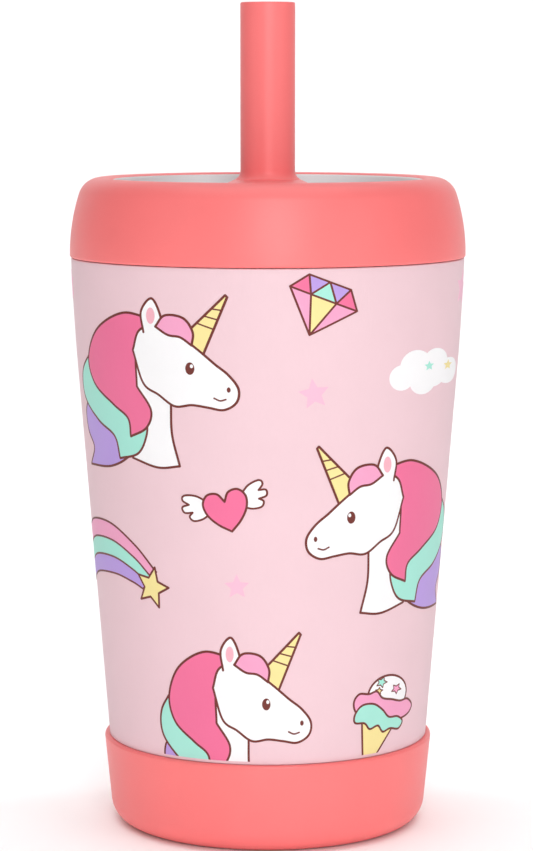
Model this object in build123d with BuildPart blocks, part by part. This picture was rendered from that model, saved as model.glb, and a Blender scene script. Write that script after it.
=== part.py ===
"""Kids' vacuum tumbler: steel cup, silicone boot, screw lid and soft straw.

Millimetres.  The origin is the centre of the boot's underside, +Z is up, and the
tongue that joins the straw to the lid's rim points to -Y.
"""
from build123d import *
import os
from math import asin, atan, degrees, hypot, sin

os.makedirs("parts", exist_ok=True)

# ---- driving dimensions -------------------------------------------------------
# Steel cup: a cone that bends upright near the mouth
cone_foot_r = 33.27        # outside radius of the cone, continued to z = 0
cone_slope = 0.08          # radius gained for each millimetre of height
cone_end_z = 100.0         # the cone stops here and a wide arc takes over
shoulder_radius = 529.0    # radius of that arc, seen from the side
mouth_z = 123.6            # top of the welded mouth
mouth_round = 0.8
cup_base_z = 2.0           # underside of the steel, inside the boot
cup_corner = 3.8
base_opening_r = 29.9      # hole that the base plate is welded into
outer_gauge = 0.6
boot_step = 0.6            # the steel steps in by this much where the boot sits
boot_step_z = 19.6

# Liner: a cone below an upright threaded neck
liner_floor_z = 8.0        # underside of the liner's floor
liner_foot_r = 31.1        # outside radius at the underside
liner_corner = 8.0
inner_gauge = 0.5
neck_r = 39.5              # outside radius of the neck
neck_z = 107.0             # the neck starts here
foil_gauge = 0.12
foil_gap = 0.1
foil_bottom_z = 18.0
foil_top_z = 104.0

# Base plate, its dimple and what lies in the vacuum
plate_gauge = 0.6
plate_rim_r = 25.0         # the plate's flat rim starts here
plate_recess_z = 4.3       # middle of the plate's gauge inside the rim
plate_rim_lean = 1.8       # how far the step inside the rim leans
plate_bend = 0.6
dimple_r = 6.0
dimple_lean = 1.2
dimple_z = 5.6
evacuation_r = 0.9         # hole the air is drawn out through
seal_r = 3.6
seal_depth = 0.9
getter_r = 5.0
getter_height = 1.2
getter_chamfer = 0.4

# Boot
boot_foot_r = 34.03        # outside radius of the boot's cone, continued to z = 0
boot_slope = 0.10
boot_top_z = 19.5
boot_corner = 5.3
boot_lip_round = 0.6
boot_clearance = 0.15
boot_recess_r = 25.0
boot_recess_depth = 0.8
boot_ring_radii = (17.0, 9.0)
boot_ring_height = 0.5
boot_ring_width = 1.6

# Screw thread, one start, outside the plug and inside the neck
thread_pitch = 4.0
thread_turns = 1.25
thread_crest = 0.9         # width of the rib at its crest
thread_root = 1.8          # width of the rib where it meets the wall
thread_sink = 0.25         # how far the rib's root is sunk into the wall
thread_z = 113.6           # where the plug's rib starts, with the lid closed
male_crest_r = 38.5
female_crest_r = 37.45

# Lid
cover_r = 42.9             # widest radius of the lid
cover_bottom_z = 124.1
cover_straight_z = 125.2   # the side starts to lean in here
cover_side_radius = 42.0
cover_side_turn = 18.0     # degrees
cover_shoulder_radius = 4.92
cover_bottom_round = 0.5
cover_inside_r = 40.3
cover_inside_z = 138.7
opening_r = 33.85
opening_edge_z = 141.1
tongue_end_r = 7.8         # half width of the tongue at the straw
tongue_rim_half = 9.1      # half width where it meets the rim
tongue_fillet = 4.0
tongue_root_r = 30.4       # the deep part of the tongue stops inside the tray's wall
tray_floor_z = 134.0
tray_floor = 1.8
tray_foot_r = 32.0         # inside radius at the floor
tray_top_r = 32.55
tray_outer_r = 33.75
tray_top_z = 140.95
tray_flange_z = 138.6
tray_skirt_z = 126.65
tray_shell = 1.6
tray_shoulder = 3.0
tray_round = 1.5           # around the floor, inside and below
tray_lip_round = 0.4
rim_r = 40.2               # outside radius of the tray's skirt and the plug's flange
plug_r = 37.0
plug_wall = 1.8
plug_round = 1.5
plug_bottom_z = 111.5
plug_flange_z = 125.1
gasket_bottom_z = 123.8
gasket_top_z = 125.0
gasket_inner_r = 38.75
gasket_outer_r = 40.05
gasket_edge = 0.4          # chamfer along its four edges
part_gap = 0.05            # between pieces of the lid that sit on each other

# Straw
straw_top_z = 178.9
straw_r = 5.92
straw_bore_r = 4.0
straw_edge_round = 0.35
flare_radius = 1.95
flare_top_z = 143.25
flare_turn = 75.0          # degrees
straw_plug_r = 6.4
straw_plug_z = 118.0
socket_r = 6.6
socket_wall = 1.6
valve_top_z = 126.0
valve_thickness = 1.4
valve_seat_r = 5.0
slit_length = 5.0
slit_width = 0.2
retainer_flange_r = 6.3
retainer_flange = 1.6
stem_r = 3.5
stem_bore_r = 2.7
stem_top_z = 123.3
stem_bottom_z = 11.0
stem_cut_slope = 0.6       # lean of the slanted cut across the stem's lower end

# Vent
vent_place = (-19.0, 12.0)
vent_hole_r = 1.6
vent_tube_r = 3.6
vent_tube_bore_r = 2.3
vent_cap_r = 4.2
vent_cap_height = 1.5
vent_cap_edge = 0.5
vent_stem_r = 1.5
vent_bulb_r = 2.0          # the bulb holds the valve in its hole from below
vent_tip_r = 1.0
vent_neck_drop = 0.2       # heights below the tray's floor
vent_bulb_drop = 0.4
vent_tip_drop = 1.6


def finish(builder, name):
    """Labels a finished piece and writes its STEP file."""
    builder.part.label = name
    export_step(builder.part, f"parts/{name}.step")


def cone_r(z):
    """Outside radius of the steel cone at height z."""
    return cone_foot_r + cone_slope * z


def liner_r(z):
    """Outside radius of the liner's cone at height z."""
    slope = (neck_r - liner_foot_r) / (neck_z - liner_floor_z)
    return liner_foot_r + slope * (z - liner_floor_z)


def dome_radius(half_width, height):
    """Radius of the sphere that a shallow dome is cut from."""
    return (half_width**2 + height**2) / (2 * height)


def cup_outline(grow=0.0):
    """Half section, from the axis, of the steel cup's outside, grown by a gap."""
    with BuildSketch() as outline:
        with BuildLine():
            side = Polyline(
                (0, cup_base_z),
                (cone_r(cup_base_z) - boot_step, cup_base_z),
                (cone_r(boot_step_z) - boot_step, boot_step_z),
                (cone_r(boot_step_z), boot_step_z),
                (cone_r(cone_end_z), cone_end_z),
            )
            lean = atan(cone_slope)
            mouth_lean = asin(sin(lean) - (mouth_z - cone_end_z) / shoulder_radius)
            turn = degrees(lean - mouth_lean)
            shoulder = JernArc(side @ 1, (cone_slope, 1), shoulder_radius, turn)
            Polyline(shoulder @ 1, (0, (shoulder @ 1).Y), (0, cup_base_z))
        make_face()
        fillet(outline.vertices().group_by(Axis.Y)[0].sort_by(Axis.X)[-1], cup_corner)
        fillet(outline.vertices().group_by(Axis.Y)[-1].sort_by(Axis.X)[-1], mouth_round)
        if grow:
            offset(amount=grow)
    return outline.sketch


def liner_outline(shrink=0.0):
    """Half section, from the axis, of the liner's outside, or of its inside, open at the top."""
    with BuildSketch() as outline:
        with BuildLine():
            Polyline(
                (0, liner_floor_z),
                (liner_foot_r, liner_floor_z),
                (neck_r, neck_z),
                (neck_r, mouth_z),
                (0, mouth_z),
                close=True,
            )
        make_face()
        fillet(outline.vertices().group_by(Axis.Y)[0].sort_by(Axis.X)[-1], liner_corner)
        if shrink:
            offset(amount=-shrink)
            with Locations((0, liner_floor_z + shrink)):
                Rectangle(shrink, neck_z - liner_floor_z, align=(Align.MIN, Align.MIN))
            with Locations((0, neck_z)):
                Rectangle(neck_r - shrink, mouth_z - neck_z, align=(Align.MIN, Align.MIN))
    return outline.sketch


def tongue_plan(grow=0.0):
    """The tongue seen from above, with the fillets that run it into the rim."""
    with BuildSketch() as plan:
        Circle(opening_r + tongue_fillet)
        Circle(opening_r, mode=Mode.SUBTRACT)
        Circle(tongue_end_r)
        with BuildLine():
            Polyline(
                (tongue_end_r, 0),
                (tongue_rim_half, -opening_r),
                (-tongue_rim_half, -opening_r),
                (-tongue_end_r, 0),
                close=True,
            )
        make_face()
        corners = [
            corner for corner in plan.vertices()
            if corner.Y < -tongue_end_r and abs(hypot(corner.X, corner.Y) - opening_r) < 0.01
        ]
        fillet(corners, tongue_fillet)
        if grow:
            offset(amount=grow)
        Circle(opening_r + grow, mode=Mode.INTERSECT)
    return plan.sketch


def thread_rib(wall_r, crest_r, start_z):
    """A helical rib with a tapered section, standing on a round wall."""
    with BuildPart() as rib:
        with BuildLine() as path:
            Helix(thread_pitch, thread_pitch * thread_turns, wall_r, center=(0, 0, start_z))
        start = Plane(origin=path.line @ 0, x_dir=(1, 0, 0), z_dir=path.line % 0)
        with BuildSketch(start):
            with BuildLine():
                Polyline(
                    (0, -thread_root / 2),
                    (crest_r - wall_r, -thread_crest / 2),
                    (crest_r - wall_r, thread_crest / 2),
                    (0, thread_root / 2),
                    close=True,
                )
            make_face()
        sweep(path=path.line, is_frenet=True)
    return rib.part


# ---- boot ---------------------------------------------------------------------
with BuildPart() as silicone_boot:
    with BuildSketch(Plane.XZ) as boot_section:
        with BuildLine():
            Polyline(
                (0, 0),
                (boot_foot_r, 0),
                (boot_foot_r + boot_slope * boot_top_z, boot_top_z),
                (0, boot_top_z),
                close=True,
            )
        make_face()
        fillet(boot_section.vertices().group_by(Axis.Y)[0].sort_by(Axis.X)[-1], boot_corner)
        add(cup_outline(boot_clearance), mode=Mode.SUBTRACT)
        fillet(boot_section.vertices().group_by(Axis.Y)[-1].sort_by(Axis.X)[-1], boot_lip_round)
    revolve(axis=Axis.Z)
    with BuildSketch(Plane.XY):
        Circle(boot_recess_r)
    extrude(amount=boot_recess_depth, mode=Mode.SUBTRACT)
    with BuildSketch(Plane.XY.offset(boot_recess_depth)):
        for ring_r in boot_ring_radii:
            Circle(ring_r + boot_ring_width / 2)
            Circle(ring_r - boot_ring_width / 2, mode=Mode.SUBTRACT)
    extrude(amount=-boot_ring_height)
finish(silicone_boot, "silicone_boot")

# ---- steel cup ----------------------------------------------------------------
with BuildPart() as outer_wall:
    with BuildSketch(Plane.XZ):
        add(cup_outline())
        add(cup_outline(-outer_gauge), mode=Mode.SUBTRACT)
        with Locations((0, cup_base_z)):
            Rectangle(base_opening_r, mouth_z, align=(Align.MIN, Align.MIN), mode=Mode.SUBTRACT)
        with Locations((0, neck_z)):
            Rectangle(neck_r, mouth_z, align=(Align.MIN, Align.MIN), mode=Mode.SUBTRACT)
    revolve(axis=Axis.Z)
finish(outer_wall, "outer_wall")

with BuildPart() as inner_wall:
    with BuildSketch(Plane.XZ):
        add(liner_outline())
        add(liner_outline(inner_gauge), mode=Mode.SUBTRACT)
    revolve(axis=Axis.Z)
    female_start_z = thread_z + thread_pitch / 2
    add(thread_rib(neck_r - inner_gauge + thread_sink, female_crest_r, female_start_z))
finish(inner_wall, "inner_wall")

with BuildPart() as reflective_foil:
    with BuildSketch(Plane.XZ):
        with BuildLine():
            inside = foil_gap
            outside = foil_gap + foil_gauge
            Polyline(
                (liner_r(foil_bottom_z) + inside, foil_bottom_z),
                (liner_r(foil_bottom_z) + outside, foil_bottom_z),
                (liner_r(foil_top_z) + outside, foil_top_z),
                (liner_r(foil_top_z) + inside, foil_top_z),
                close=True,
            )
        make_face()
    revolve(axis=Axis.Z)
finish(reflective_foil, "reflective_foil")

with BuildPart() as base_plate:
    with BuildSketch(Plane.XZ):
        with BuildLine():
            FilletPolyline(
                (evacuation_r, dimple_z),
                (dimple_r - dimple_lean, dimple_z),
                (dimple_r, plate_recess_z),
                (plate_rim_r - plate_rim_lean, plate_recess_z),
                (plate_rim_r, cup_base_z + plate_gauge / 2),
                (base_opening_r, cup_base_z + plate_gauge / 2),
                radius=plate_bend,
            )
        trace(line_width=plate_gauge)
    revolve(axis=Axis.Z)
finish(base_plate, "base_plate")

seal_top_z = dimple_z - plate_gauge / 2
with BuildPart() as vacuum_seal:
    with BuildSketch(Plane.XZ):
        with BuildLine():
            Polyline((0, seal_top_z - seal_depth), (0, seal_top_z), (seal_r, seal_top_z))
            RadiusArc((seal_r, seal_top_z), (0, seal_top_z - seal_depth), dome_radius(seal_r, seal_depth))
        make_face()
    revolve(axis=Axis.Z)
finish(vacuum_seal, "vacuum_seal")

with BuildPart() as getter:
    with BuildSketch(Plane.XY.offset(liner_floor_z - getter_height)):
        Circle(getter_r)
    extrude(amount=getter_height)
    chamfer(getter.faces().sort_by(Axis.Z)[0].edges(), getter_chamfer)
finish(getter, "getter")

# ---- lid ----------------------------------------------------------------------
with BuildPart() as lid_gasket:
    with BuildSketch(Plane.XZ) as gasket_section:
        with BuildLine():
            Polyline(
                (gasket_inner_r, gasket_bottom_z),
                (gasket_outer_r, gasket_bottom_z),
                (gasket_outer_r, gasket_top_z),
                (gasket_inner_r, gasket_top_z),
                close=True,
            )
        make_face()
        chamfer(gasket_section.vertices(), gasket_edge)
    revolve(axis=Axis.Z)
finish(lid_gasket, "lid_gasket")

with BuildPart() as lid_cover:
    with BuildSketch(Plane.XZ) as cover_section:
        with BuildLine():
            foot = Polyline(
                (cover_inside_r, cover_bottom_z),
                (cover_r, cover_bottom_z),
                (cover_r, cover_straight_z),
            )
            side = JernArc(foot @ 1, (0, 1), cover_side_radius, cover_side_turn)
            crest = JernArc(side @ 1, side % 1, cover_shoulder_radius, 90 - cover_side_turn)
            Polyline(
                crest @ 1,
                (opening_r, opening_edge_z),
                (opening_r, cover_inside_z),
                (cover_inside_r, cover_inside_z),
                (cover_inside_r, cover_bottom_z),
            )
        make_face()
        fillet(cover_section.vertices().group_by(Axis.Y)[0].sort_by(Axis.X)[-1], cover_bottom_round)
        inside_corner = [
            corner for corner in cover_section.vertices()
            if hypot(corner.X - cover_inside_r, corner.Y - cover_inside_z) < 0.01
        ]
        fillet(inside_corner, tray_shoulder)
    revolve(axis=Axis.Z)
    with BuildSketch(Plane.XY.offset(cover_inside_z)):
        add(tongue_plan())
    extrude(amount=opening_edge_z - cover_inside_z)
    with BuildSketch(Plane.XY.offset(tray_floor_z + part_gap)):
        add(tongue_plan())
        Circle(tongue_root_r, mode=Mode.INTERSECT)
    extrude(amount=cover_inside_z - tray_floor_z)
    with BuildSketch(Plane.XY.offset(tray_floor_z)):
        Circle(socket_r)
    extrude(amount=opening_edge_z - tray_floor_z, mode=Mode.SUBTRACT)
finish(lid_cover, "lid_cover")

with BuildPart() as lid_tray:
    with BuildSketch(Plane.XZ) as tray_section:
        with BuildLine():
            Polyline(
                (socket_r, tray_floor_z - tray_floor),
                (tray_outer_r, tray_floor_z - tray_floor),
                (tray_outer_r, tray_flange_z - tray_shell),
                (rim_r - tray_shell, tray_flange_z - tray_shell),
                (rim_r - tray_shell, tray_skirt_z),
                (rim_r, tray_skirt_z),
                (rim_r, tray_flange_z),
                (tray_outer_r, tray_flange_z),
                (tray_outer_r, tray_top_z),
                (tray_top_r, tray_top_z),
                (tray_foot_r, tray_floor_z),
                (socket_r, tray_floor_z),
                close=True,
            )
        make_face()
        for at_r, at_z, radius in (
            (rim_r, tray_flange_z, tray_shoulder),
            (rim_r - tray_shell, tray_flange_z - tray_shell, tray_shoulder - tray_shell),
            (tray_foot_r, tray_floor_z, tray_round),
            (tray_outer_r, tray_floor_z - tray_floor, tray_round),
            (tray_outer_r, tray_top_z, tray_lip_round),
            (tray_top_r, tray_top_z, tray_lip_round),
        ):
            corner = tray_section.vertices().sort_by_distance((at_r, at_z))[0]
            fillet(corner, radius)
    revolve(axis=Axis.Z)
    with BuildSketch(Plane.XY.offset(tray_flange_z)):
        add(tongue_plan(part_gap))
    extrude(amount=opening_edge_z - tray_flange_z, mode=Mode.SUBTRACT)
    with BuildSketch(Plane.XY.offset(tray_floor_z)):
        with Locations(vent_place):
            Circle(vent_hole_r)
    extrude(amount=-tray_floor, mode=Mode.SUBTRACT)
finish(lid_tray, "lid_tray")

plug_top_z = tray_floor_z - tray_floor - part_gap
with BuildPart() as lid_plug:
    with BuildSketch(Plane.XZ) as plug_section:
        with BuildLine():
            Polyline(
                (socket_r, plug_bottom_z),
                (plug_r, plug_bottom_z),
                (plug_r, plug_flange_z),
                (rim_r, plug_flange_z),
                (rim_r, tray_skirt_z - part_gap),
                (plug_r - plug_wall, tray_skirt_z - part_gap),
                (plug_r - plug_wall, plug_bottom_z + plug_wall),
                (socket_r + socket_wall, plug_bottom_z + plug_wall),
                (socket_r + socket_wall, plug_top_z),
                (socket_r, plug_top_z),
                close=True,
            )
        make_face()
        fillet(plug_section.vertices().group_by(Axis.Y)[0].sort_by(Axis.X)[-1], plug_round)
    revolve(axis=Axis.Z)
    with BuildSketch(Plane.XY.offset(plug_bottom_z)):
        with Locations(vent_place):
            Circle(vent_tube_r)
    extrude(amount=plug_top_z - plug_bottom_z)
    with BuildSketch(Plane.XY.offset(plug_bottom_z)):
        with Locations(vent_place):
            Circle(vent_tube_bore_r)
    extrude(amount=plug_top_z - plug_bottom_z, mode=Mode.SUBTRACT)
    add(thread_rib(plug_r - thread_sink, male_crest_r, thread_z))
finish(lid_plug, "lid_plug")

with BuildPart() as vent_valve:
    vent_plane = Plane(origin=(*vent_place, tray_floor_z + part_gap), x_dir=(1, 0, 0), z_dir=(0, -1, 0))
    with BuildSketch(vent_plane):
        with BuildLine():
            Polyline(
                (0, vent_cap_height),
                (0, -tray_floor - vent_tip_drop),
                (vent_tip_r, -tray_floor - vent_tip_drop),
                (vent_bulb_r, -tray_floor - vent_bulb_drop),
                (vent_stem_r, -tray_floor - vent_neck_drop),
                (vent_stem_r, 0),
                (vent_cap_r, 0),
                (vent_cap_r, vent_cap_edge),
            )
            RadiusArc((vent_cap_r, vent_cap_edge), (0, vent_cap_height),
                      -dome_radius(vent_cap_r, vent_cap_height - vent_cap_edge))
        make_face()
    revolve(axis=Axis(origin=(*vent_place, 0), direction=(0, 0, 1)))
finish(vent_valve, "vent_valve")

# ---- straw --------------------------------------------------------------------
with BuildPart() as straw_spout:
    with BuildSketch(Plane.XZ) as spout_section:
        with BuildLine():
            upright = Polyline(
                (straw_bore_r, straw_top_z),
                (straw_r, straw_top_z),
                (straw_r, flare_top_z),
            )
            flare = JernArc(upright @ 1, (0, -1), flare_radius, flare_turn)
            Polyline(
                flare @ 1,
                ((flare @ 1).X, opening_edge_z + part_gap),
                (straw_plug_r, opening_edge_z + part_gap),
                (straw_plug_r, straw_plug_z),
                (valve_seat_r, straw_plug_z),
                (valve_seat_r, valve_top_z),
                (straw_bore_r, valve_top_z),
                (straw_bore_r, straw_top_z),
            )
        make_face()
        fillet(spout_section.vertices().group_by(Axis.Y)[-1], straw_edge_round)
    revolve(axis=Axis.Z)
finish(straw_spout, "straw_spout")

with BuildPart() as straw_valve:
    with BuildSketch(Plane.XY.offset(valve_top_z)):
        Circle(valve_seat_r - part_gap)
        Rectangle(slit_length, slit_width, mode=Mode.SUBTRACT)
        Rectangle(slit_width, slit_length, mode=Mode.SUBTRACT)
    extrude(amount=-valve_thickness)
finish(straw_valve, "straw_valve")

with BuildPart() as valve_retainer:
    with BuildSketch(Plane.XZ):
        with BuildLine():
            Polyline(
                (stem_r + part_gap, straw_plug_z - retainer_flange),
                (retainer_flange_r, straw_plug_z - retainer_flange),
                (retainer_flange_r, straw_plug_z),
                (valve_seat_r - part_gap, straw_plug_z),
                (valve_seat_r - part_gap, valve_top_z - valve_thickness),
                (stem_bore_r, valve_top_z - valve_thickness),
                (stem_bore_r, stem_top_z),
                (stem_r + part_gap, stem_top_z),
                close=True,
            )
        make_face()
    revolve(axis=Axis.Z)
finish(valve_retainer, "valve_retainer")

with BuildPart() as straw_stem:
    with BuildSketch(Plane.XY.offset(stem_bottom_z)):
        Circle(stem_r)
        Circle(stem_bore_r, mode=Mode.SUBTRACT)
    extrude(amount=stem_top_z - stem_bottom_z)
    cut_height = stem_bottom_z + stem_r * stem_cut_slope
    split(bisect_by=Plane(origin=(0, 0, cut_height), z_dir=(stem_cut_slope, 0, 1)), keep=Keep.TOP)
finish(straw_stem, "straw_stem")
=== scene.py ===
"""Looks of the kids' vacuum tumbler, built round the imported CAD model.

Outlines are written in millimetres and turned into metres as the meshes are made.
+Z is up and -Y is the front, where the tongue runs from the straw to the rim.
"""

from math import asin, atan2, ceil, cos, hypot, pi, radians, sin, sqrt, tan

import bmesh
import bpy
import numpy as np
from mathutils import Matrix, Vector
from mathutils.geometry import delaunay_2d_cdt


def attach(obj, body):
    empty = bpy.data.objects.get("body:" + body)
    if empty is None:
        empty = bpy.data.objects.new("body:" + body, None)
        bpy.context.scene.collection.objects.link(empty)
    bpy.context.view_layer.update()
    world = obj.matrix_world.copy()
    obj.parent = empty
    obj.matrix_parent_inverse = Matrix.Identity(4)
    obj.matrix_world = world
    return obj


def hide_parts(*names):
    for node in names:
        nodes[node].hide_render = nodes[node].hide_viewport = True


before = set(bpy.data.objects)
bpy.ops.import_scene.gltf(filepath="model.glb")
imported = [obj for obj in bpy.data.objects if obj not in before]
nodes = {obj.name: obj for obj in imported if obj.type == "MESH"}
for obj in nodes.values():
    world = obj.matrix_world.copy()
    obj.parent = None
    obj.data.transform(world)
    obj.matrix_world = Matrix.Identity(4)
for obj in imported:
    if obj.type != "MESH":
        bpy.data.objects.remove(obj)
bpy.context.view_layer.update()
scene = bpy.context.scene
MM = 0.001

# ---- camera -------------------------------------------------------------------------------
LENS_MM, CAMERA_PLACE, CAMERA_TILT = 126.5, (-0.00027, -0.6497, 0.1627), 83.37
camera_data = bpy.data.cameras.new("camera")
camera_data.lens = LENS_MM
camera_data.sensor_width = 36.0
camera_data.clip_start = 0.01
camera = bpy.data.objects.new("camera", camera_data)
camera.location = CAMERA_PLACE
camera.rotation_euler = (radians(CAMERA_TILT), 0, 0)
scene.collection.objects.link(camera)
scene.camera = camera


# ---- materials ----------------------------------------------------------------------------
def srgb(red, green, blue):
    """Linear colour of an 8-bit display colour."""
    return tuple(
        c / 12.92 if c <= 0.04045 else ((c + 0.055) / 1.055) ** 2.4
        for c in (red / 255, green / 255, blue / 255)) + (1.0,)


def surface(name, colour, roughness, grain, depth, vary=0.03, stretch=(1, 1, 1), spread=0.06,
            patch=60.0, worn=None, **sockets):
    """A procedural finish: fine grain in the bump and roughness, and broad drifts of colour.

    grain is the noise scale per metre, depth the bump's height in metres, vary the share by
    which the colour drifts, spread the range of roughness, and worn a second colour that
    shows through along the grain's peaks.
    """
    material = bpy.data.materials.new(name)
    material.use_nodes = True
    tree = material.node_tree
    shader = tree.nodes["Principled BSDF"]
    link = tree.links.new

    def add(kind, **values):
        node = tree.nodes.new(kind)
        for key, value in values.items():
            if hasattr(node, key):
                setattr(node, key, value)
            else:
                node.inputs[key.replace("_", " ").title()].default_value = value
        return node

    place = add("ShaderNodeTexCoord")
    mapping = add("ShaderNodeMapping")
    mapping.inputs["Scale"].default_value = stretch
    link(place.outputs["Object"], mapping.inputs["Vector"])
    fine = add("ShaderNodeTexNoise", scale=grain, detail=3.0, roughness=0.55)
    link(mapping.outputs["Vector"], fine.inputs["Vector"])
    broad = add("ShaderNodeTexNoise", scale=patch, detail=2.0, roughness=0.5)
    link(place.outputs["Object"], broad.inputs["Vector"])

    drift = add("ShaderNodeMapRange")
    drift.inputs["From Min"].default_value = 0.3
    drift.inputs["From Max"].default_value = 0.7
    link(broad.outputs["Fac"], drift.inputs["Value"])
    mix = add("ShaderNodeMix", data_type="RGBA")
    mix.inputs[6].default_value = tuple(c * (1 - vary) for c in colour[:3]) + (1,)
    mix.inputs[7].default_value = tuple(min(1, c * (1 + vary)) for c in colour[:3]) + (1,)
    link(drift.outputs["Result"], mix.inputs[0])
    tint = mix.outputs[2]
    speckle = add("ShaderNodeMapRange")
    speckle.inputs["From Min"].default_value = 0.35
    speckle.inputs["From Max"].default_value = 0.75
    speckle.inputs["To Max"].default_value = 1.0 if worn else vary
    link(fine.outputs["Fac"], speckle.inputs["Value"])
    second = add("ShaderNodeMix", data_type="RGBA")
    second.inputs[7].default_value = worn or tuple(c * 0.6 for c in colour[:3]) + (1,)
    link(speckle.outputs["Result"], second.inputs[0])
    link(tint, second.inputs[6])
    link(second.outputs[2], shader.inputs["Base Color"])

    matte = add("ShaderNodeMapRange")
    matte.inputs["To Min"].default_value = roughness - spread
    matte.inputs["To Max"].default_value = roughness + spread
    link(fine.outputs["Fac"], matte.inputs["Value"])
    link(matte.outputs["Result"], shader.inputs["Roughness"])

    bump = add("ShaderNodeBump")
    bump.inputs["Strength"].default_value = 0.6
    bump.inputs["Distance"].default_value = depth
    link(fine.outputs["Fac"], bump.inputs["Height"])
    link(bump.outputs["Normal"], shader.inputs["Normal"])
    for key, value in sockets.items():
        shader.inputs[key.replace("_", " ")].default_value = value
    return material


CORAL = srgb(252, 120, 120)
FINISHES = {
    "coral_silicone": surface("coral silicone", CORAL, 0.44, 2600, 0.00004, 0.02, Specular_IOR_Level=0.6),
    "coral_cover": surface("coral cover", CORAL, 0.42, 2600, 0.00004, 0.02, Specular_IOR_Level=0.6),
    "powder_coat": surface("powder coat", srgb(236, 202, 209), 0.56, 2400, 0.00006, 0.012, (1, 1, 0.3),
                           Specular_IOR_Level=0.4),
    "bare_steel": surface("bare steel", srgb(206, 205, 203), 0.30, 900, 0.00002, 0.04, (1, 1, 14),
                          Metallic=1.0, Anisotropic=0.4),
    "foil": surface("copper foil", srgb(214, 150, 112), 0.24, 420, 0.0003, 0.06, (1, 1, 0.5),
                    Metallic=1.0),
    "seal_glass": surface("glass solder", srgb(74, 62, 56), 0.16, 500, 0.00003, 0.08, Coat_Weight=0.5),
    "getter_metal": surface("sintered getter", srgb(120, 119, 121), 0.72, 3200, 0.0001, 0.12,
                            worn=srgb(92, 90, 92), Metallic=0.8),
    "clear_silicone": surface("clear silicone", srgb(224, 226, 226), 0.36, 1500, 0.00003, 0.02,
                              Transmission_Weight=0.45, IOR=1.41),
    "pale_plastic": surface("pale plastic", srgb(228, 230, 231), 0.42, 2600, 0.00004, 0.012),
}
INKS = {
    "outline": srgb(112, 44, 36),
    "white": srgb(248, 246, 247),
    "hot_pink": srgb(239, 112, 154),
    "mid_pink": srgb(242, 163, 198),
    "rose": srgb(243, 178, 192),
    "pale_pink": srgb(245, 188, 210),
    "teal": srgb(166, 230, 214),
    "purple": srgb(186, 155, 224),
    "yellow": srgb(244, 226, 154),
}
for ink, colour in INKS.items():
    FINISHES["ink_" + ink] = surface("ink " + ink, colour, 0.55, 2400, 0.00005, 0.015, (1, 1, 0.3),
                                     Specular_IOR_Level=0.4)


# ---- mesh tools ---------------------------------------------------------------------------
def show(name, mesh, body, slot, replaced=(), crease=32.0):
    """Puts a finished mesh in the scene on its body, with its finish."""
    mesh.polygons.foreach_set("use_smooth", [True] * len(mesh.polygons))
    mesh.set_sharp_from_angle(angle=radians(crease))
    mesh.materials.append(FINISHES[slot])
    piece = bpy.data.objects.new(name, mesh)
    scene.collection.objects.link(piece)
    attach(piece, body)
    if replaced:
        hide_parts(*replaced)
    return piece


def arc(centre_r, centre_z, radius, start, end, steps=10):
    """Points along an arc, angles in degrees from +r towards +z."""
    return [(centre_r + radius * cos(radians(start + (end - start) * k / steps)),
             centre_z + radius * sin(radians(start + (end - start) * k / steps)))
            for k in range(steps + 1)]


def rounded(corners, steps=8):
    """A closed outline through (r, z, fillet radius) corners."""
    out = []
    count = len(corners)
    for k, (x, z, radius) in enumerate(corners):
        if not radius:
            out.append((x, z))
            continue
        before, after = corners[k - 1], corners[(k + 1) % count]
        a = Vector((before[0] - x, before[1] - z)).normalized()
        b = Vector((after[0] - x, after[1] - z)).normalized()
        half = a.angle(b) / 2
        reach = radius / tan(half)
        centre = Vector((x, z)) + (a + b).normalized() * radius / sin(half)
        p = Vector((x, z)) + a * reach - centre
        q = Vector((x, z)) + b * reach - centre
        for i in range(steps + 1):
            t = i / steps
            out.append(tuple(centre + p.slerp(q, t).normalized() * radius))
    return out


def lathe(name, outline, segments=320):
    """A closed mesh of revolution from a closed (r, z) outline."""
    rings, points = [], []
    for r, z in outline:
        count = 1 if r < 1e-6 else segments
        rings.append(range(len(points), len(points) + count))
        points += [(r * sin(2 * pi * i / segments) * MM, -r * cos(2 * pi * i / segments) * MM, z * MM)
                   for i in range(count)]
    faces = []
    for low, high in zip(rings, rings[1:] + rings[:1]):
        if len(low) == 1 and len(high) == 1:
            continue
        for i in range(segments):
            j = (i + 1) % segments
            corners = [low[i % len(low)], low[j % len(low)], high[j % len(high)], high[i % len(high)]]
            faces.append(list(dict.fromkeys(corners)))
    mesh = bpy.data.meshes.new(name)
    mesh.from_pydata(points, [], faces)
    tidy = bmesh.new()
    tidy.from_mesh(mesh)
    bmesh.ops.recalc_face_normals(tidy, faces=tidy.faces)
    tidy.to_mesh(mesh)
    tidy.free()
    return mesh


# ---- the cup and its boot -----------------------------------------------------------------
CONE_FOOT_R, CONE_SLOPE, CONE_END_Z, SHOULDER_RADIUS = 33.27, 0.08, 100.0, 529.0
MOUTH_Z, MOUTH_ROUND, NECK_R, WALL, LIP_Z, LIP_R = 123.6, 0.3, 39.5, 0.6, 124.15, 41.0
STEP_Z, STEP_IN, CUP_BASE_Z, BASE_HOLE_R = 19.6, 0.6, 2.0, 29.9


def wall_r(z):
    """Outside radius of the steel cup at height z."""
    return CONE_FOOT_R + CONE_SLOPE * z - max(z - CONE_END_Z, 0.0) ** 2 / (2 * SHOULDER_RADIUS)


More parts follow.
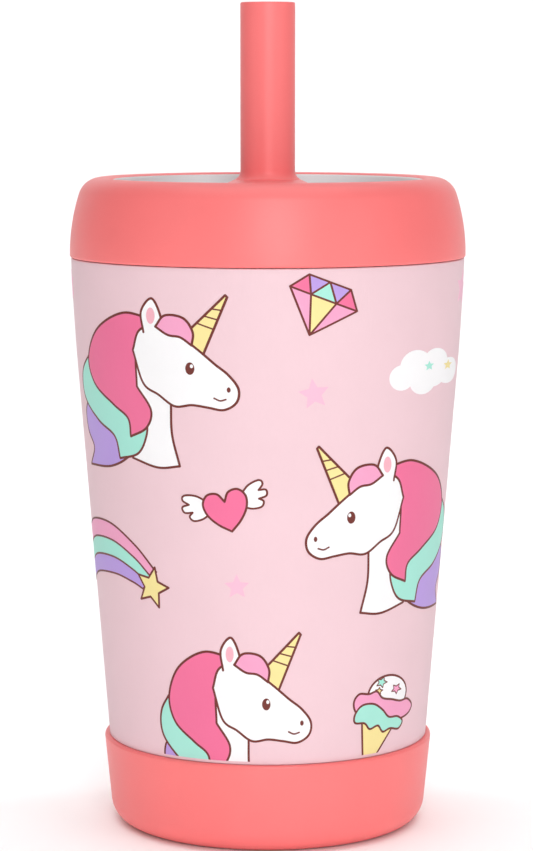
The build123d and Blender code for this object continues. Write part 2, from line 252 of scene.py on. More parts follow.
shoulder = [(wall_r(z), z) for z in np.linspace(CONE_END_Z, LIP_Z - MOUTH_ROUND, 20)]
mouth_r = wall_r(MOUTH_Z)
outside = ([(BASE_HOLE_R, CUP_BASE_Z)]
           + arc(wall_r(CUP_BASE_Z) - STEP_IN - 4.0, CUP_BASE_Z + 3.8, 3.8, -90, 4, 10)
           + [(wall_r(z) - STEP_IN, z) for z in (10.0, STEP_Z)]
           + [(wall_r(z), z) for z in np.linspace(STEP_Z, CONE_END_Z - 1.0, 40)]
           + shoulder
           + arc(mouth_r - MOUTH_ROUND, LIP_Z - MOUTH_ROUND, MOUTH_ROUND, 10, 90, 8)
           + [(LIP_R, LIP_Z), (LIP_R, MOUTH_Z)])
inside = ([(NECK_R, MOUTH_Z), (NECK_R, MOUTH_Z - WALL), (mouth_r - 1.1, MOUTH_Z - WALL)]
          + [(wall_r(z) - WALL, z) for z in np.linspace(MOUTH_Z - 1.6, STEP_Z + 0.6, 24)]
          + [(wall_r(z) - STEP_IN - WALL, z) for z in (STEP_Z - 0.6, 10.0)]
          + arc(wall_r(CUP_BASE_Z) - STEP_IN - 4.0, CUP_BASE_Z + 3.8, 3.2, 4, -90, 10)
          + [(BASE_HOLE_R, CUP_BASE_Z + WALL)])
show("cup_wall", lathe("cup_wall", outside + inside, 384), "cup", "powder_coat", ["outer_wall"])

BOOT_FOOT_R, BOOT_SLOPE, BOOT_TOP_Z = 34.03, 0.10, 19.5
ring_profile = [(0, 0.8, 0)]
for ring_r in (9.0, 17.0):
    ring_profile += [(ring_r - 0.8, 0.8, 0), (ring_r - 0.8, 0.3, 0.15),
                     (ring_r + 0.8, 0.3, 0.15), (ring_r + 0.8, 0.8, 0)]
boot_profile = ring_profile + [
    (25.0, 0.8, 0), (25.0, 0.0, 0.2),
    (BOOT_FOOT_R, 0.0, 5.3),
    (BOOT_FOOT_R + BOOT_SLOPE * BOOT_TOP_Z, BOOT_TOP_Z, 0.6),
    (wall_r(STEP_Z) - STEP_IN + 0.17, BOOT_TOP_Z, 0.5),
    (wall_r(CUP_BASE_Z) - STEP_IN + 0.17, 1.85, 3.95),
    (0, 1.85, 0)]
show("boot_skin", lathe("boot_skin", rounded(boot_profile)), "boot", "coral_silicone", ["silicone_boot"])


# ---- the straw ----------------------------------------------------------------------------
STRAW_TOP_Z, STRAW_R, BORE_R, STRAW_TOP_ROUND = 178.9, 5.92, 4.0, 0.35
PLUG_R, PLUG_BOTTOM_Z, VALVE_SEAT_R, VALVE_SEAT_Z = 6.1, 118.0, 5.0, 126.0
FLARE_Z, FLARE_RADIUS, FLARE_TURN, SEAT_Z = 142.79, 2.1, 62.0, 140.9
straw_outline = (
    arc(STRAW_R - STRAW_TOP_ROUND, STRAW_TOP_Z - STRAW_TOP_ROUND, STRAW_TOP_ROUND, 90, 0, 6)
    + [(STRAW_R, z) for z in np.linspace(STRAW_TOP_Z - 4, FLARE_Z + 3, 16)]
    + arc(STRAW_R + FLARE_RADIUS, FLARE_Z, FLARE_RADIUS, 180, 180 + FLARE_TURN, 12)
    + [(STRAW_R + FLARE_RADIUS * (1 - cos(radians(FLARE_TURN))), SEAT_Z),
       (PLUG_R, SEAT_Z), (PLUG_R, PLUG_BOTTOM_Z), (VALVE_SEAT_R, PLUG_BOTTOM_Z),
       (VALVE_SEAT_R, VALVE_SEAT_Z), (BORE_R, VALVE_SEAT_Z)]
    + arc(BORE_R + STRAW_TOP_ROUND, STRAW_TOP_Z - STRAW_TOP_ROUND, STRAW_TOP_ROUND, 180, 90, 6))
show("straw_tube", lathe("straw_tube", straw_outline, 160), "straw", "coral_silicone", ["straw_spout"])


# ---- the lid's cover, with the tongue that joins its rim to the straw -----------------------
COVER_R, COVER_BOTTOM_Z, COVER_STRAIGHT_Z = 42.9, 124.3, 124.98
SIDE_RADIUS, SIDE_TURN, CREST_RADIUS = 42.0, 18.0, 4.92
COVER_INSIDE_R, COVER_INSIDE_Z, INSIDE_ROUND = 40.3, 138.7, 3.0
OPENING_R, TONGUE_TOP_Z, TONGUE_END_R, TONGUE_RIM_HALF = 33.85, 140.9, 7.5, 9.8
TONGUE_FILLET, TONGUE_ROOT_R, TONGUE_BOTTOM_Z, SOCKET_R = 4.6, 30.0, 134.05, 6.3
EDGE_ROUND, COVER_BOTTOM_ROUND = 0.65, 0.4
CREST_RINGS = (34.9, 35.3, 35.7)     # extra rings of points that shape the rounded crest
SAME_PLACE = 1e-4                    # points closer than this are one point, in millimetres


def opening_edge():
    """The edge of the lid's opening seen from above, with the opening on its left.

    It runs down the tongue's right side, round the rim and back up the left side, then
    round the straw, with a point on each side where the deep part of the tongue stops.
    """
    start = Vector((TONGUE_END_R, 0.0))
    run = Vector((TONGUE_RIM_HALF - TONGUE_END_R, -OPENING_R)).normalized()
    outward = Vector((-run.y, run.x))
    base = start + outward * TONGUE_FILLET
    reach = OPENING_R - TONGUE_FILLET
    centre = base + run * (sqrt(base.dot(run) ** 2 - base.dot(base) + reach**2) - base.dot(run))
    foot = centre - outward * TONGUE_FILLET
    first, last = atan2(-outward.y, -outward.x), atan2(centre.y, centre.x)
    sweep = (last - first) % (2 * pi)
    right = [start.lerp(foot, k / 40) for k in range(40)]
    right += [centre + TONGUE_FILLET * Vector((cos(first + sweep * k / 26), sin(first + sweep * k / 26)))
              for k in range(27)]
    rim = [Vector((cos(a), sin(a))) * OPENING_R for a in np.linspace(last, pi - last, 300)[1:-1]]
    left = [Vector((-p.x, p.y)) for p in reversed(right)]
    end = [Vector((cos(a), sin(a))) * TONGUE_END_R for a in np.linspace(pi, 0, 60)[1:-1]]
    loop = []
    points = right + rim + left + end
    for p, q in zip(points, points[1:] + points[:1]):
        loop.append(p)
        if (p.length - TONGUE_ROOT_R) * (q.length - TONGUE_ROOT_R) < 0:
            loop.append(p.lerp(q, (TONGUE_ROOT_R - p.length) / (q.length - p.length)))
    return loop


def inward(loop, distance):
    """The loop moved by a distance into the material on its right."""
    out = []
    for k, p in enumerate(loop):
        along = (loop[(k + 1) % len(loop)] - loop[k - 1]).normalized()
        out.append(p + Vector((along.y, -along.x)) * distance)
    return out


def inside_outline(points, outline):
    """Which of the points lie inside a closed outline."""
    x, y = points[:, 0, None], points[:, 1, None]
    a = np.array(outline, float)
    b = np.roll(a, -1, axis=0)
    crosses = (a[:, 1] > y) != (b[:, 1] > y)
    with np.errstate(divide="ignore", invalid="ignore"):
        at = a[:, 0] + (y - a[:, 1]) * (b[:, 0] - a[:, 0]) / (b[:, 1] - a[:, 1])
    return (crosses & (x < at)).sum(axis=1) % 2 == 1


def triangulated(loops, loose=()):
    """Points and counter-clockwise triangles of a plane cut along closed loops."""
    points, edges = [], []
    for loop in loops:
        first = len(points)
        points += [Vector(p) for p in loop]
        edges += [(first + k, first + (k + 1) % len(loop)) for k in range(len(loop))]
    points += [Vector(p) for p in loose]
    made = delaunay_2d_cdt(points, edges, [], 0, 1e-5)
    corners = np.array([tuple(p) for p in made[0]])
    faces = np.array([f for f in made[2] if len(f) == 3])
    a, b, c = (corners[faces[:, k]] for k in range(3))
    area = (b[:, 0] - a[:, 0]) * (c[:, 1] - a[:, 1]) - (b[:, 1] - a[:, 1]) * (c[:, 0] - a[:, 0])
    faces[area < 0] = faces[area < 0][:, ::-1]
    return corners, faces[np.abs(area) > 1e-9]


def circle(radius, count, z=None):
    points = [(radius * cos(2 * pi * k / count), radius * sin(2 * pi * k / count)) for k in range(count)]
    return points if z is None else [(x, y, z) for x, y in points]


def lid_cover():
    """The cover as one closed mesh: outside, rounded opening, tongue, socket and underside."""
    side_end_r = COVER_R - SIDE_RADIUS * (1 - cos(radians(SIDE_TURN)))
    side_end_z = COVER_STRAIGHT_Z + SIDE_RADIUS * sin(radians(SIDE_TURN))
    crest_r = side_end_r - CREST_RADIUS * cos(radians(SIDE_TURN))
    crest_mid_z = side_end_z - CREST_RADIUS * sin(radians(SIDE_TURN))
    crest_z = crest_mid_z + CREST_RADIUS
    profile = (arc(crest_r, crest_mid_z, CREST_RADIUS, 90, SIDE_TURN, 22)
               + arc(COVER_R - SIDE_RADIUS, COVER_STRAIGHT_Z, SIDE_RADIUS, SIDE_TURN, 0, 14)[1:]
               + arc(COVER_R - COVER_BOTTOM_ROUND, COVER_BOTTOM_Z + COVER_BOTTOM_ROUND,
                     COVER_BOTTOM_ROUND, 0, -90, 6)
               + [(COVER_INSIDE_R, COVER_BOTTOM_Z)]
               + arc(COVER_INSIDE_R - INSIDE_ROUND, COVER_INSIDE_Z - INSIDE_ROUND, INSIDE_ROUND, 0, 90, 8))
    around, bm = 320, bmesh.new()

    def vertices(points):
        return [bm.verts.new((x * MM, y * MM, z * MM)) for x, y, z in points]

    def band(low, high):
        for k in range(len(low)):
            j = (k + 1) % len(low)
            bm.faces.new((low[k], low[j], high[j], high[k]))

    def cap(loops, keep, height, loose=()):
        corners, faces = triangulated(loops, loose)
        middles = corners[faces].mean(axis=1)
        used = vertices([(x, y, height(hypot(x, y))) for x, y in corners])
        for face in faces[keep(middles)]:
            bm.faces.new([used[k] for k in face])

    def top_z(r):
        t = min(max((r - OPENING_R) / (crest_r - OPENING_R), 0.0), 1.0)
        return TONGUE_TOP_Z + (crest_z - TONGUE_TOP_Z) * (1 - (1 - t) ** 2)

    rings = [vertices(circle(r, around, z)) for r, z in profile]
    for low, high in zip(rings, rings[1:]):
        band(low, high)

    edge = opening_edge()
    steps = []
    for turn in np.linspace(0, 90, 7):
        moved = inward(edge, EDGE_ROUND * (1 - cos(radians(turn))))
        drop = EDGE_ROUND * (1 - sin(radians(turn)))
        steps.append(vertices([(p.x, p.y, top_z(p.length) - drop) for p in moved]))
    for low, high in zip(steps, steps[1:]):
        band(low, high)
    walls = [vertices([(p.x, p.y, z) for p in edge]) for z in (COVER_INSIDE_Z, TONGUE_BOTTOM_Z)]
    band(steps[0], walls[0])
    shallow = [p.length > TONGUE_ROOT_R + SAME_PLACE for p in edge]
    for k in range(len(edge)):
        j = (k + 1) % len(edge)
        if not shallow[k] and not shallow[j]:
            bm.faces.new((walls[0][k], walls[0][j], walls[1][j], walls[1][k]))

    crossings = [p for p in edge if abs(p.length - TONGUE_ROOT_R) < SAME_PLACE]
    from_angle, to_angle = sorted(atan2(p.y, p.x) for p in crossings)
    root = [Vector((cos(a), sin(a))) * TONGUE_ROOT_R for a in np.linspace(from_angle, to_angle, 30)]
    low, high = (vertices([(p.x, p.y, z) for p in root]) for z in (TONGUE_BOTTOM_Z, COVER_INSIDE_Z))
    for k in range(len(root) - 1):
        bm.faces.new((low[k], low[k + 1], high[k + 1], high[k]))

    opening = [tuple(p) for p in edge]
    moved = [tuple(p) for p in inward(edge, EDGE_ROUND)]
    socket = circle(SOCKET_R, 72)
    band(vertices([(x, y, TONGUE_TOP_Z) for x, y in socket]),
         vertices([(x, y, TONGUE_BOTTOM_Z) for x, y in socket]))
    loose = [p for r in CREST_RINGS for p in circle(r, 240)]
    cap([circle(crest_r, around), moved, socket],
        lambda m: ~inside_outline(m, moved) & ~inside_outline(m, socket), top_z, loose)
    deep = [tuple(p) for p, far in zip(edge, shallow) if not far]
    turned = deep.index(tuple(crossings[1])) if tuple(crossings[1]) in deep else 0
    deep = deep[turned:] + deep[:turned]
    if (Vector(deep[0]) - Vector(crossings[0])).length < 1e-6:
        deep = deep[1:] + deep[:1]
    lower = sorted(root, key=lambda p: (p - Vector(deep[-1])).length)
    lower_loop = deep + [tuple(p) for p in lower[1:-1]]
    cap([lower_loop, socket],
        lambda m: inside_outline(m, lower_loop) & ~inside_outline(m, socket), lambda r: TONGUE_BOTTOM_Z)
    cap([circle(COVER_INSIDE_R - INSIDE_ROUND, around), opening, [tuple(p) for p in root]],
        lambda m: ~inside_outline(m, opening) & ~inside_outline(m, lower_loop), lambda r: COVER_INSIDE_Z)

    bmesh.ops.remove_doubles(bm, verts=bm.verts, dist=0.003 * MM)
    loose_ends = [v for v in bm.verts if not v.link_faces]
    bmesh.ops.delete(bm, geom=loose_ends, context="VERTS")
    bmesh.ops.recalc_face_normals(bm, faces=bm.faces)
    mesh = bpy.data.meshes.new("lid_cover_skin")
    bm.to_mesh(mesh)
    bm.free()
    return mesh


show("lid_cover_skin", lid_cover(), "lid", "coral_cover", ["lid_cover"])

# ---- the print on the cup: drawing tools ----------------------------------------------------
SHEET_R = 38.0             # the print is drawn on a sheet whose width is this radius times angle
PRINT_LOW, PRINT_HIGH = 20.2, 123.5
INK_PROUD, INK_SUNK = 0.06, 0.10   # how far the ink stands out of the wall and into it
FOLD = radians(66)         # flat drawings are let out past this angle, where the cup turns away
GRID = 2.0                 # spacing of the points that let a filled shape follow the wall
STEP = 0.35                # spacing of the points along a smooth curve


def smooth(points, closed=False):
    """A smooth curve through given points, sampled finely."""
    n = len(points)
    spans = n if closed else n - 1
    out = []
    for i in range(spans):
        if closed:
            p0, p1, p2, p3 = (points[(i + k) % n] for k in (-1, 0, 1, 2))
        else:
            p1, p2 = points[i], points[i + 1]
            p0 = points[i - 1] if i else (2 * p1[0] - p2[0], 2 * p1[1] - p2[1])
            p3 = points[i + 2] if i + 2 < n else (2 * p2[0] - p1[0], 2 * p2[1] - p1[1])
        count = max(1, round(hypot(p2[0] - p1[0], p2[1] - p1[1]) / STEP))
        for k in range(count):
            t = k / count
            out.append(tuple(
                0.5 * (2 * b + (c - a) * t + (2 * a - 5 * b + 4 * c - d) * t * t
                       + (3 * b - a - 3 * c + d) * t**3)
                for a, b, c, d in zip(p0, p1, p2, p3)))
    if not closed:
        out.append(points[-1])
    return out


def joined(*runs):
    """A closed outline of smooth runs that meet in corners."""
    out = []
    for run in runs:
        out += smooth(run)[:-1]
    return out


def ellipse(x, y, rx, ry, count=28):
    return [(x + rx * cos(2 * pi * k / count), y + ry * sin(2 * pi * k / count)) for k in range(count)]


def star_points(radius, inner=0.48, turn=90.0, x=0.0, y=0.0):
    out = []
    for k in range(10):
        r = radius if k % 2 == 0 else radius * inner
        a = radians(turn + 36 * k)
        out.append((x + r * cos(a), y + r * sin(a)))
    return out


def fill(ink, outline, clip=None):
    return ("fill", ink, outline, clip)


def line(points, width=0.5, closed=False, ink="outline"):
    pts = list(points) + ([points[0]] if closed else [])
    return ("line", ink, pts, width)


def filled(ink, outline, width=0.5):
    return [fill(ink, outline), line(outline, width, closed=True)]


# ---- motifs, each round its own centre, in millimetres, from back to front ----------------
def unicorn():
    """A plain unicorn's head in profile, facing right. Centre: just behind the eye."""
    violet_lock = joined(
        [(-19.6, -6.0), (-21.4, -10.4), (-21.0, -14.8), (-19.4, -18.4), (-20.4, -22.4)],
        [(-20.4, -22.4), (-15.4, -21.6), (-11.4, -18.8), (-9.6, -15.0)],
        [(-9.6, -15.0), (-14.0, -10.0), (-19.6, -6.0)])
    teal_lock = joined(
        [(-19.8, 2.4), (-22.2, -2.4), (-21.8, -7.6), (-18.2, -12.2), (-14.6, -15.0), (-13.4, -19.6)],
        [(-13.4, -19.6), (-9.4, -18.0), (-7.6, -14.0), (-7.4, -9.6)],
        [(-7.4, -9.6), (-13.0, -4.0), (-19.8, 2.4)])
    crest_lock = joined(
        [(-6.6, 10.6), (-12.6, 11.4), (-18.2, 7.6), (-20.4, 1.2), (-19.0, -4.4), (-14.8, -8.2),
         (-11.6, -10.8), (-11.0, -14.6)],
        [(-11.0, -14.6), (-7.6, -12.4), (-6.6, -8.6), (-9.6, -3.8)],
        [(-9.6, -3.8), (-9.6, 4.0), (-6.6, 10.6)])
    neck = joined(
        [(-10.2, 2.0), (-10.4, -6.0), (-10.2, -13.4), (-10.6, -19.1)],
        [(-10.6, -19.1), (-5.2, -20.6), (-0.6, -20.0)],
        [(-0.6, -20.0), (-2.2, -13.4), (-2.4, -6.0)],
        [(-2.4, -6.0), (-5.0, -1.0), (-10.2, 2.0)])
    neck_line = smooth([(-2.4, -6.8), (-2.2, -13.4), (-0.6, -20.0)]) + smooth(
        [(-0.6, -20.0), (-5.2, -20.6), (-10.6, -19.1)])
    face = [(6.8, 1.6), (9.6, -0.6), (11.6, -3.4), (11.2, -6.2), (8.6, -7.8), (5.4, -7.4),
            (2.0, -7.0), (-1.6, -7.4), (-5.0, -5.2)]
    head = joined(
        [(-10.4, 3.8), (-9.0, 8.0), (-5.2, 9.4), (-1.2, 7.8), (3.2, 4.6), (6.8, 1.6)],
        face,
        [(-5.0, -5.2), (-8.2, -3.0), (-10.4, 3.8)])
    horn = [(-0.6, 6.5), (8.9, 15.9), (9.3, 15.5), (4.2, 3.2)]
    ear = smooth([(-4.2, 8.2), (-4.6, 11.6), (-6.4, 14.8), (-8.6, 12.0), (-8.1, 7.7)])
    tuft = joined(
        [(-5.6, 9.0), (-3.6, 11.4), (0.2, 11.0), (2.2, 8.2), (2.0, 5.4)],
        [(2.0, 5.4), (-0.4, 7.0), (-3.0, 7.4), (-5.6, 9.0)])
    layers = [fill("white", neck), line(neck_line)] + filled("yellow", horn)
    for t in (0.46, 0.62, 0.78):
        low = (4.2 + 5.1 * t, 3.2 + 12.3 * t)
        high = (-0.6 + 9.5 * (t - 0.08), 6.5 + 9.4 * (t - 0.08))
        layers.append(line([high, low], 0.32))
    for ink, lock in (("purple", violet_lock), ("teal", teal_lock), ("hot_pink", crest_lock)):
        layers += filled(ink, lock)
    layers += filled("white", head) + [fill("white", ear), line(ear)]
    layers += [fill("rose", ellipse(-6.6, 11.2, 0.9, 1.7))] + filled("mid_pink", tuft)
    layers += [fill("outline", ellipse(1.6, 0.6, 0.95, 1.3)), fill("white", ellipse(1.95, 1.1, 0.34, 0.4))]
    layers.append(fill("outline", ellipse(9.6, -3.6, 0.4, 0.56)))
    layers.append(line(smooth([(6.6, -5.4), (7.8, -5.9), (9.0, -5.6)]), 0.36))
    return layers


def gem():
    girdle = [(-7.4, 0), (-2.8, 0), (2.8, 0), (7.4, 0)]
    crown = [(-4.6, 4.0), (0, 4.0), (4.6, 4.0)]
    tip = (0, -8.6)
    facets = (
        ("hot_pink", (girdle[0], crown[0], girdle[1])),
        ("purple", (crown[0], crown[1], girdle[1])),
        ("teal", (girdle[1], crown[1], girdle[2])),
        ("purple", (crown[1], crown[2], girdle[2])),
        ("hot_pink", (crown[2], girdle[3], girdle[2])),
        ("mid_pink", (girdle[0], girdle[1], tip)),
        ("yellow", (girdle[1], girdle[2], tip)),
        ("mid_pink", (girdle[2], girdle[3], tip)))
    layers = [fill(ink, list(facet)) for ink, facet in facets]
    return layers + [line(list(facet), 0.4, closed=True) for _, facet in facets]


def plain_star(radius=3.3, turn=98.0, ink="pale_pink"):
    return [fill(ink, star_points(radius, 0.47, turn))]


def winged_heart():
    half = [(0, 2.3), (1.3, 4.3), (3.5, 4.5), (4.9, 2.7), (4.5, 0.1), (2.6, -2.5), (0, -4.6)]
    heart = joined(half, [(-x, y) for x, y in reversed(half)])
    wing = (
        [(3.6, 2.8), (6.0, 4.8), (8.6, 5.4), (9.2, 4.4), (8.0, 3.2)],
        [(8.0, 3.2), (9.6, 2.9), (9.4, 1.6), (7.6, 1.3)],
        [(7.6, 1.3), (8.5, 0.5), (7.8, -0.6), (5.8, -0.6), (4.0, 0.2)],
        [(4.0, 0.2), (3.6, 2.8)])
    layers = []
    for side in (1, -1):
        layers += filled("white", joined(*[[(side * x, y) for x, y in run] for run in wing]), 0.42)
    return layers + filled("hot_pink", heart, 0.46)


def cloud():
    layers = [fill("white", ellipse(x, y, r, r)) for x, y, r in (
        (-5.0, -0.9, 2.7), (-1.9, 1.2, 3.5), (2.5, 1.9, 2.7), (5.5, -0.7, 2.8), (-0.4, -2.0, 2.9),
        (2.0, -0.6, 3.0))]
    layers.append(fill("teal", star_points(1.1, 0.47, 90, 1.0, 1.0)))
    layers.append(fill("yellow", star_points(1.15, 0.47, 84, 5.4, 0.5)))
    return layers


def shooting_star():
    """A yellow star with three bands of tail, sweeping up and to the left. Centre: the star."""
    layers = []
    for ink, outer, inner in (
            ("mid_pink", 0, 1), ("teal", 1, 2), ("purple", 2, 3)):
        edges = []
        for k in (outer, inner):
            edges.append([(1.6 - 1.5 * k, 3.8 - 1.5 * k), (-5.0 - 0.6 * k, 9.6 - 3.0 * k),
                          (-14.0, 13.6 - 4.0 * k), (-25.0, 13.4 - 4.3 * k), (-35.0, 10.0 - 4.4 * k)])
        tail_end = (-37.0, edges[0][-1][1] * 0.5 + edges[1][-1][1] * 0.5 - 0.4)
        band = smooth(edges[0]) + [tail_end] + list(reversed(smooth(edges[1])))
        layers += filled(ink, band, 0.42)
    return layers + filled("yellow", star_points(5.0, 0.47, 76), 0.46)


def ice_cream():
    cone = [(-4.4, -2.4), (4.6, -2.4), (0.3, -15.0), (-0.5, -15.0)]
    scoop = ellipse(0.5, 5.2, 5.3, 5.3, 44)
    pink = smooth([(-8.0, 2.2), (-7.2, 4.6), (-4.6, 5.0), (-2.6, 5.9), (-0.6, 4.4), (2.2, 4.2),
                   (4.6, 3.9), (6.6, 4.4),
                   (8.4, 2.6), (7.6, 0.2), (4.2, -1.2), (-2.0, -1.6), (-6.4, -0.4)], True)
    teal = smooth([(-6.8, -0.8), (-5.6, 1.8), (-2.6, 2.6), (0.2, 1.4), (2.6, -0.4), (5.0, -0.2),
                   (6.8, -1.4), (6.2, -3.4),
                   (3.8, -3.4), (2.0, -4.4), (0.2, -2.9), (-1.8, -4.0), (-3.6, -2.7), (-6.2, -2.9)], True)
    layers = filled("yellow", cone, 0.46) + filled("white", scoop, 0.46)
    sprinkles = (
        (-2.0, 8.4, 1.5, 80, "teal"), (-2.1, 6.0, 1.05, 96, "yellow"), (2.6, 7.0, 1.4, 70, "mid_pink"))
    for x, y, r, turn, ink in sprinkles:
        layers += filled(ink, star_points(r, 0.5, turn, x, y), 0.26)
    return layers + filled("mid_pink", pink, 0.46) + filled("teal", teal, 0.46)


# ---- the print on the cup: laying it on the wall ----------------------------------------------
def flat_to_sheet(x, z):
    """A point drawn flat, as seen from the front, on the sheet that wraps the cup."""
    share = x / wall_r(z)
    if abs(share) > sin(FOLD):
        angle = (FOLD + (abs(share) - sin(FOLD)) / cos(FOLD)) * (1 if share > 0 else -1)
    else:
        angle = asin(share)
    return angle * SHEET_R, z


def placed(x, z, turn=0.0, scale=(1.0, 1.0), mirror=False, angle=None):
    """Moves a motif's points to the sheet: flat in front view, or wrapped round from an angle."""
    c, s = cos(radians(turn)), sin(radians(turn))

    def move(px, py):
        px, py = (-px if mirror else px) * scale[0], py * scale[1]
        px, py = px * c - py * s, px * s + py * c
        if angle is None:
            return flat_to_sheet(x + px, z + py)
        return (radians(angle) + px / wall_r(z)) * SHEET_R, z + py
    return move


def runs_of(points, bend=0.5):
    """Splits a line where it turns sharply, in radians."""
    runs, run = [], [points[0]]
    for k in range(1, len(points)):
        run.append(points[k])
        if k + 1 < len(points):
            a, b = points[k] - points[k - 1], points[k + 1] - points[k]
            if abs(a[0] * b[1] - a[1] * b[0]) > sin(bend) * np.hypot(*a) * np.hypot(*b) or a @ b < 0:
                runs.append(run)
                run = [points[k]]
    runs.append(run)
    return runs


def ribbon(points, width):
    """Outlines that cut a stroke's edges, its round ends and its corners."""
    loops = []
    for run in runs_of(points):
        run = np.array(run)
        step = np.diff(run, axis=0)
        step /= np.hypot(step[:, 0], step[:, 1])[:, None]
        mean = np.vstack([step[:1], step[:-1] + step[1:], step[-1:]])
        mean /= np.hypot(mean[:, 0], mean[:, 1])[:, None]
        spread = 1 / np.maximum(np.einsum("ij,ij->i", mean, np.vstack([step, step[-1:]])), 0.8)
        normal = np.column_stack([-mean[:, 1], mean[:, 0]]) * (spread * width / 2)[:, None]
        loops.append(np.vstack([run + normal, (run - normal)[::-1]]))
        for end in (run[0], run[-1]):
            loops.append(np.array(ellipse(end[0], end[1], width / 2, width / 2, 10)))
    return loops


def near_line(centres, points, width):
    """Which centres lie within half a stroke's width of its line."""
    a, b = points[:-1], points[1:]
    span = b - a
    gap = centres[:, None, :] - a[None]
    t = np.clip((gap * span).sum(2) / np.maximum((span**2).sum(1), 1e-12), 0, 1)
    away = gap - t[:, :, None] * span
    return (away**2).sum(2).min(1) < (width / 2) ** 2


def closely(points, closed, step=0.8):
    """The same outline with no stretch longer than a step, so that it can follow the wall."""
    ends = list(points) + ([points[0]] if closed else [])
    out = []
    for (ax, ay), (bx, by) in zip(ends, ends[1:]):
        count = max(1, ceil(hypot(bx - ax, by - ay) / step))
        out += [(ax + (bx - ax) * k / count, ay + (by - ay) * k / count) for k in range(count)]
    return out if closed else out + [ends[-1]]


INK_FACES = {ink: [] for ink in INKS}


def paint(layers, move):
    """Cuts the sheet along a motif's outlines and gives each triangle its topmost ink."""
    shapes, loops = [], []
    for kind, ink, points, extra in layers:
        points = np.array([move(*p) for p in closely(points, kind == "fill")])
        keep = np.hypot(*np.diff(points, axis=0, prepend=points[:1] - 1).T) > 1e-3
        points = points[keep]
        if kind == "fill":
            extra = None if extra is None else np.array([move(*p) for p in extra])
            loops.append(points)
        else:
            loops += ribbon(points, extra)
        shapes.append((kind, ink, points, extra))
    low = np.min([loop.min(0) for loop in loops], axis=0) - 0.5
    high = np.max([loop.max(0) for loop in loops], axis=0) + 0.5
    loose = [(s, z) for s in np.arange(low[0], high[0], GRID) for z in np.arange(low[1], high[1], GRID)
             if PRINT_LOW < z < PRINT_HIGH]
    for z in (PRINT_LOW, PRINT_HIGH):
        if low[1] < z < high[1]:
            strip = [(low[0], z), (high[0], z), (high[0], z + 0.05), (low[0], z + 0.05)]
            loops.append(np.array(closely(strip, True)))
    corners, faces = triangulated(loops, loose)
    centres = corners[faces].mean(axis=1)
    inks = np.full(len(faces), "", dtype=object)
    for kind, ink, points, extra in shapes:
        if kind == "fill":
            inside = inside_outline(centres, points)
            if extra is not None:
                inside &= inside_outline(centres, extra)
        else:
            inside = near_line(centres, points, extra)
        inks[inside] = ink
    printed = (centres[:, 1] > PRINT_LOW) & (centres[:, 1] < PRINT_HIGH)
    for ink in INKS:
        chosen = faces[(inks == ink) & printed]
        if len(chosen):
            INK_FACES[ink].append((corners, chosen))


def ink_mesh(name, patches):
    """A closed thin layer over the chosen triangles, split where it only touches at a point."""
    points, faces = [], []
    for corners, chosen in patches:
        parent = {}

        def root(key):
            while parent.setdefault(key, key) != key:
                key = parent[key]
            return key

        owner = {}
        for f, (a, b, c) in enumerate(chosen):
            for p, q in ((a, b), (b, c), (c, a)):
                owner[(p, q)] = f
        for (p, q), f in owner.items():
            other = owner.get((q, p))
            if other is not None and f < other:
                for v in (p, q):
                    parent[root((f, v))] = root((other, v))
        index, first = {}, len(points)
        for f, face in enumerate(chosen):
            for v in face:
                index.setdefault(root((f, v)), len(index))
        count = len(index)
        for sunk in (False, True):
            for f, v in index:
                s, z = corners[v]
                r = wall_r(z) + (-INK_SUNK if sunk else INK_PROUD)
                points.append((r * sin(s / SHEET_R) * MM, -r * cos(s / SHEET_R) * MM, z * MM))
        for f, (a, b, c) in enumerate(chosen):
            top = [first + index[root((f, v))] for v in (a, b, c)]
            faces.append(top)
            faces.append([k + count for k in reversed(top)])
            for k, (p, q) in enumerate(((a, b), (b, c), (c, a))):
                if (q, p) not in owner:
                    i, j = top[k], top[(k + 1) % 3]
                    faces.append([j, i, i + count, j + count])
    mesh = bpy.data.meshes.new(name)
    mesh.from_pydata(points, [], faces)
    return mesh


# ---- the print on the cup: where each motif stands -----------------------------------------
FRONT = (
    (unicorn(), placed(-17.6, 102.8)),
    (unicorn(), placed(18.8, 71.4, scale=(0.93, 1.0), mirror=True)),
    (unicorn(), placed(-1.8, 32.1, scale=(0.93, 1.0))),
    (gem(), placed(11.4, 117.9, -21.5, (1.0, 0.92))),
    (cloud(), placed(32.9, 101.6)),
    (winged_heart(), placed(-8.4, 73.7, 14.0, (0.93, 0.93))),
    (shooting_star(), placed(0, 56.3, 0, (0.9, 0.9), angle=-40.1)),
    (ice_cream(), placed(23.8, 28.5, -15.5, (0.8, 0.82))),
    (plain_star(3.3), placed(9.5, 98.3)),
    (plain_star(2.7, 92), placed(-6.4, 57.8)),
    (plain_star(3.4, 80), placed(0, 118.0, scale=(1.7, 1.15), angle=79.5)),
    (plain_star(3.4, 104), placed(0, 118.4, angle=-84.0)),
)
AROUND = (
    (unicorn, 128, 101, 0, False), (unicorn, -121, 97, 0, True), (unicorn, -140, 37, 0, False),
    (unicorn, 135, 46, 0, True), (gem, 166, 113, 16, False),
    (cloud, -164, 101, 0, False), (cloud, -108, 57, 0, False), (winged_heart, 172, 74, -12, False),
    (ice_cream, -104, 33, 12, False), (ice_cream, 101, 38, -10, False),
)
STARS = ((105, 66), (181, 38), (-158, 84), (154, 90), (-142, 118), (-150, 62), (178, 56), (-128, 66))
for layers, move in FRONT:
    paint(layers, move)
for motif, angle, z, turn, mirror in AROUND:
    paint(motif(), placed(0, z, turn, mirror=mirror, angle=angle))
for k, (angle, z) in enumerate(STARS):
    paint(plain_star(2.7 + 0.3 * (k % 3), 84 + 9 * (k % 4)), placed(0, z, angle=angle))
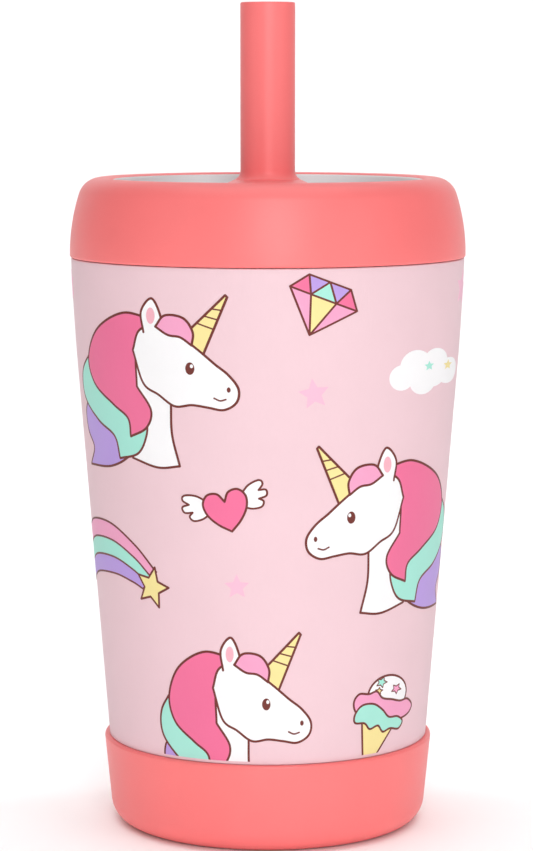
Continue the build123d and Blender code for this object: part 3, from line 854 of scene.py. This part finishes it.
for ink, patches in INK_FACES.items():
    show("print_" + ink, ink_mesh("print_" + ink, patches), "cup", "ink_" + ink)

# ---- finishes of the pieces kept as they are --------------------------------------------------
KEPT = {
    "inner_wall": "bare_steel", "reflective_foil": "foil", "base_plate": "bare_steel",
    "vacuum_seal": "seal_glass", "getter": "getter_metal", "lid_gasket": "clear_silicone",
    "lid_tray": "pale_plastic", "lid_plug": "pale_plastic", "vent_valve": "clear_silicone",
    "straw_valve": "clear_silicone", "valve_retainer": "pale_plastic", "straw_stem": "pale_plastic",
}
for node, slot in KEPT.items():
    kept = nodes[node].data
    kept.materials.clear()
    kept.materials.append(FINISHES[slot])

# ---- floor, backdrop and light ----------------------------------------------------------------
paper = bpy.data.materials.new("paper")
paper.use_nodes = True
paper.node_tree.nodes["Principled BSDF"].inputs["Base Color"].default_value = (0.93, 0.93, 0.93, 1)
paper.node_tree.nodes["Principled BSDF"].inputs["Roughness"].default_value = 0.9
paper.node_tree.nodes["Principled BSDF"].inputs["Specular IOR Level"].default_value = 0.15

sweep_line = [(-2.2, 0.0), (1.1, 0.0)]
sweep_line += [(1.1 + 0.5 * sin(radians(a)), 0.5 - 0.5 * cos(radians(a))) for a in range(10, 91, 10)]
sweep_line += [(1.6, 2.4)]
points = [(x, y, z) for y, z in sweep_line for x in (-2.4, 2.4)]
sweep_mesh = bpy.data.meshes.new("sweep")
strips = [(2 * k, 2 * k + 1, 2 * k + 3, 2 * k + 2) for k in range(len(sweep_line) - 1)]
sweep_mesh.from_pydata(points, [], strips)
sweep_mesh.polygons.foreach_set("use_smooth", [True] * len(sweep_mesh.polygons))
sweep_mesh.materials.append(paper)
sweep = bpy.data.objects.new("sweep", sweep_mesh)
scene.collection.objects.link(sweep)


def softbox(name, place, target, size, power, only=None):
    """A rectangular light aimed at a point, which may light one collection only."""
    data = bpy.data.lights.new(name, "AREA")
    data.shape = "RECTANGLE"
    data.size, data.size_y = size
    data.energy = power
    lamp = bpy.data.objects.new(name, data)
    lamp.location = place
    lamp.rotation_euler = (Vector(target) - Vector(place)).to_track_quat("-Z", "Y").to_euler()
    scene.collection.objects.link(lamp)
    if only:
        lamp.light_linking.receiver_collection = only


paper_only = bpy.data.collections.new("paper_only")
paper_only.objects.link(sweep)
softbox("key", (0.12, -1.25, 0.55), (0, 0, 0.10), (0.45, 1.1), 8.0)
softbox("right_fill", (1.0, -0.8, 0.35), (0, 0, 0.09), (0.7, 1.0), 2.2)
softbox("left_fill", (-1.0, -0.8, 0.35), (0, 0, 0.09), (0.7, 1.0), 1.4)
softbox("overhead", (0.0, 0.1, 1.5), (0, 0, 0), (1.6, 1.6), 10.0)
softbox("table", (0.0, -0.1, 1.6), (0, 0.0, 0), (1.8, 1.8), 9.0, paper_only)
softbox("backdrop_left", (-1.1, 0.5, 1.2), (-0.2, 1.7, 0.4), (0.8, 0.8), 7.0, paper_only)
softbox("backdrop_right", (1.1, 0.5, 1.2), (0.2, 1.7, 0.4), (0.8, 0.8), 7.0, paper_only)
world = bpy.data.worlds.new("studio")
scene.world = world
world.use_nodes = True
world.node_tree.nodes["Background"].inputs["Color"].default_value = (1, 1, 1, 1)
world.node_tree.nodes["Background"].inputs["Strength"].default_value = 0.2
scene.view_settings.view_transform = "Standard"
